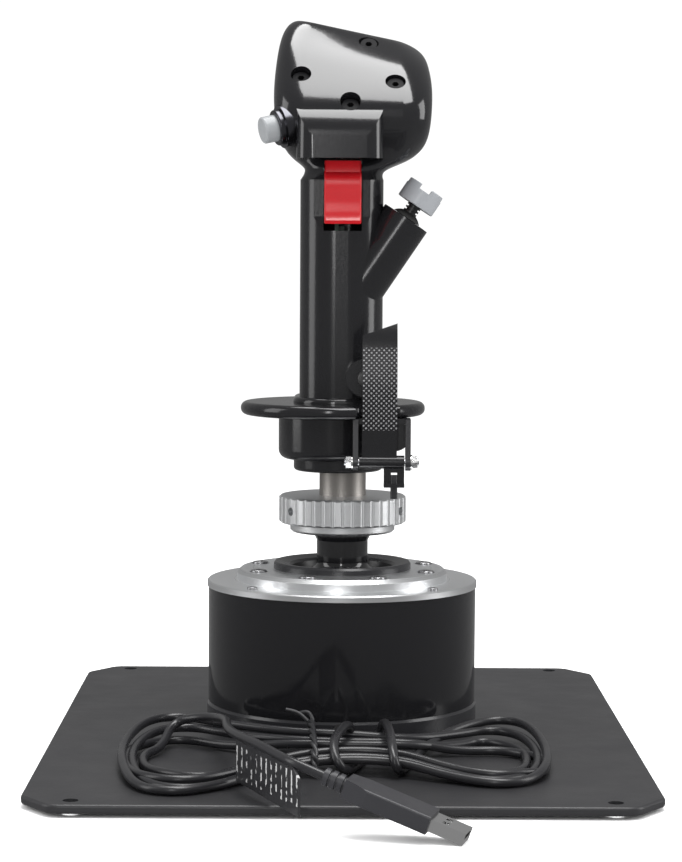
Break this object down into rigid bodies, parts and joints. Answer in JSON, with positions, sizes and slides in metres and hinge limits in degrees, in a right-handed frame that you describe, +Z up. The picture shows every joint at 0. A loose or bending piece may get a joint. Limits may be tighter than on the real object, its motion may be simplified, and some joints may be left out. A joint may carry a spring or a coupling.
{
  "type": "flight joystick",
  "caption": "Desktop flight stick: a ball-pivoted grip with hats, trigger and lever on a round base, bolted to a floor plate, with its coiled plug-in cable.",
  "frame": {"origin": "middle of the floor plate, at the level its rubber feet stand on", "axes": "+Z up, +Y from the trigger side towards the pilot, +X to the side the paddle lever and the thumb hat are on"},
  "size_m": [0.242, 0.3579, 0.3064],
  "materials": {
    "plate_paint": "satin powder coat",
    "foot_rubber": "matt",
    "screw_steel": "plain",
    "ring_black": "satin",
    "gland_plastic": "matt",
    "drum_gloss": "gloss",
    "ballast_iron": "as cast",
    "flange_aluminium": "turned",
    "bezel_black": "satin",
    "frame_aluminium": "plain",
    "gimbal_steel": "plain",
    "neck_black": "gloss",
    "pin_steel": "ground",
    "shaft_steel": "ground",
    "magnet_grey": "plated",
    "spring_steel": "bright wire",
    "seat_plastic": "moulded",
    "board_green": "lacquered",
    "nut_aluminium": "knurled",
    "tube_steel": "brushed",
    "grip_gloss": "gloss",
    "rest_black": "gloss",
    "head_gloss": "gloss",
    "cover_gloss": "gloss",
    "cover_screw_black": "blackened",
    "collar_metal": "dark anodised",
    "bracket_black": "satin",
    "nut_steel": "plated",
    "socket_black": "moulded",
    "trigger_red": "gloss",
    "button_grey": "satin",
    "button_red": "gloss",
    "lever_black": "gloss, dimpled",
    "plunger_plastic": "moulded",
    "hat_silver": "satin",
    "boot_rubber": "matt",
    "hat_black": "moulded",
    "cable_black": "smooth",
    "plug_black": "moulded",
    "shell_nickel": "plated",
    "label_black": "printed film",
    "tie_wire": "plain"
  },
  "bodies": {
    "base": {"base_plate": "plate_paint", "rubber_feet": "foot_rubber", "plate_screws": "screw_steel", "base_ring": "ring_black", "cable_gland": "gland_plastic", "base_housing": "drum_gloss", "ballast_weight": "ballast_iron", "top_flange": "flange_aluminium", "boss_screws": "screw_steel", "flange_screws": "screw_steel", "dust_bezel": "bezel_black", "gimbal_frame": "frame_aluminium", "centring_spring": "spring_steel", "spring_seat": "seat_plastic", "sensor_board": "board_green", "main_board": "board_green", "cable_hank": "cable_black", "cable_tail": "cable_black", "cable_tie": "tie_wire", "label_flag": "label_black", "usb_plug": "plug_black", "usb_shell": "shell_nickel"},
    "gimbal": {"gimbal_ring": "gimbal_steel"},
    "stick": {"pivot_ball": "neck_black", "pivot_pins": "pin_steel", "stick_shaft": "shaft_steel", "sensor_magnet": "magnet_grey", "connector_tube": "tube_steel", "stick_connector": "gland_plastic", "grip_base_cap": "grip_gloss", "grip_shell_left": "grip_gloss", "grip_shell_right": "grip_gloss", "hand_rest": "rest_black", "head_shell": "head_gloss", "front_cover": "cover_gloss", "cover_screws": "cover_screw_black", "grip_board": "board_green", "side_button_collar": "collar_metal", "lever_bracket": "bracket_black", "hinge_pin": "pin_steel", "hinge_nuts": "nut_steel", "trigger_pin": "pin_steel", "rear_hat_sockets": "socket_black"},
    "lock_ring": {"ring_nut": "nut_aluminium"},
    "trigger": {"trigger": "trigger_red"},
    "side_button": {"side_button": "button_grey"},
    "weapon_button": {"weapon_button": "button_red"},
    "lever": {"paddle_lever": "lever_black", "lever_stop_screw": "bracket_black"},
    "plunger": {"lever_plunger": "plunger_plastic"},
    "side_hat_slider": {"side_hat_slider": "socket_black"},
    "side_hat_cross": {"side_hat_cross": "pin_steel"},
    "side_hat": {"side_hat": "hat_silver", "side_hat_boot": "boot_rubber"},
    "trim_hat_cross": {"trim_hat_cross": "pin_steel"},
    "trim_hat": {"trim_hat": "hat_black"},
    "upper_hat_cross": {"upper_hat_cross": "pin_steel"},
    "upper_hat": {"upper_hat": "hat_silver"},
    "lower_hat_cross": {"lower_hat_cross": "pin_steel"},
    "lower_hat": {"lower_hat": "hat_silver"}
  },
  "joints": [
    {"name": "stick_pitch", "type": "hinge", "parent": "base", "child": "gimbal", "pos_m": [0, 0.015, 0.054], "axis": [1, 0, 0], "range_deg": [-16, 16], "stiffness_Nm_per_rad": 5, "deforming": ["centring_spring"]},
    {"name": "stick_roll", "type": "hinge", "parent": "gimbal", "child": "stick", "pos_m": [0, 0.015, 0.054], "axis": [0, 1, 0], "range_deg": [-16, 16], "stiffness_Nm_per_rad": 5},
    {"name": "ring_turn", "type": "hinge", "parent": "stick", "child": "lock_ring", "pos_m": [0, 0.015, 0.09], "axis": [0, 0, 1], "continuous": true},
    {"name": "trigger_pull", "type": "hinge", "parent": "stick", "child": "trigger", "pos_m": [0, 0.0005, 0.2425], "axis": [1, 0, 0], "range_deg": [0, 12], "stiffness_Nm_per_rad": 0.3, "springref_deg": -8.59},
    {"name": "side_button_press", "type": "slide", "parent": "stick", "child": "side_button", "axis": [0.9222, 0.3308, 0.2005], "range_m": [0, 0.0015], "stiffness_N_per_m": 900, "springref_m": -0.001},
    {"name": "weapon_button_press", "type": "slide", "parent": "stick", "child": "weapon_button", "axis": [0, -1, 0], "range_m": [0, 0.002], "stiffness_N_per_m": 900, "springref_m": -0.001},
    {"name": "lever_squeeze", "type": "hinge", "parent": "stick", "child": "lever", "pos_m": [0.0149, -0.015, 0.12], "axis": [-1, 0, 0], "range_deg": [0, 6.5], "stiffness_Nm_per_rad": 0.8, "springref_deg": -6.88},
    {"name": "plunger_push", "type": "slide", "parent": "stick", "child": "plunger", "axis": [0, 1, 0], "range_m": [0, 0.0043]},
    {"name": "side_hat_press", "type": "slide", "parent": "stick", "child": "side_hat_slider", "axis": [-0.5592, 0, -0.829], "range_m": [0, 0.001], "stiffness_N_per_m": 1500, "springref_m": -0.001},
    {"name": "side_hat_rock", "type": "hinge", "parent": "side_hat_slider", "child": "side_hat_cross", "pos_m": [0.0234, 0.006, 0.21785], "axis": [0, 1, 0], "range_deg": [-10, 10], "stiffness_Nm_per_rad": 0.25},
    {"name": "side_hat_tilt", "type": "hinge", "parent": "side_hat_cross", "child": "side_hat", "pos_m": [0.0234, 0.006, 0.21785], "axis": [-0.829, 0, 0.5592], "range_deg": [-10, 10], "stiffness_Nm_per_rad": 0.25},
    {"name": "trim_hat_rock", "type": "hinge", "parent": "stick", "child": "trim_hat_cross", "pos_m": [0.005, 0.03576, 0.289], "axis": [1, 0, 0], "range_deg": [-10, 10], "stiffness_Nm_per_rad": 0.25},
    {"name": "trim_hat_tilt", "type": "hinge", "parent": "trim_hat_cross", "child": "trim_hat", "pos_m": [0.005, 0.03576, 0.289], "axis": [0, 0, -1], "range_deg": [-10, 10], "stiffness_Nm_per_rad": 0.25},
    {"name": "upper_hat_rock", "type": "hinge", "parent": "stick", "child": "upper_hat_cross", "pos_m": [-0.0145, 0.03736, 0.2805], "axis": [1, 0, 0], "range_deg": [-10, 10], "stiffness_Nm_per_rad": 0.25},
    {"name": "upper_hat_tilt", "type": "hinge", "parent": "upper_hat_cross", "child": "upper_hat", "pos_m": [-0.0145, 0.03736, 0.2805], "axis": [0, 0, -1], "range_deg": [-10, 10], "stiffness_Nm_per_rad": 0.25},
    {"name": "lower_hat_rock", "type": "hinge", "parent": "stick", "child": "lower_hat_cross", "pos_m": [-0.0085, 0.03705, 0.2565], "axis": [1, 0, 0], "range_deg": [-10, 10], "stiffness_Nm_per_rad": 0.25},
    {"name": "lower_hat_tilt", "type": "hinge", "parent": "lower_hat_cross", "child": "lower_hat", "pos_m": [-0.0085, 0.03705, 0.2565], "axis": [0, 0, -1], "range_deg": [-10, 10], "stiffness_Nm_per_rad": 0.25}
  ],
  "couplings": [
    {"joint": "plunger_push", "follows": "lever_squeeze", "m_per_rad": 0.035}
  ]
}
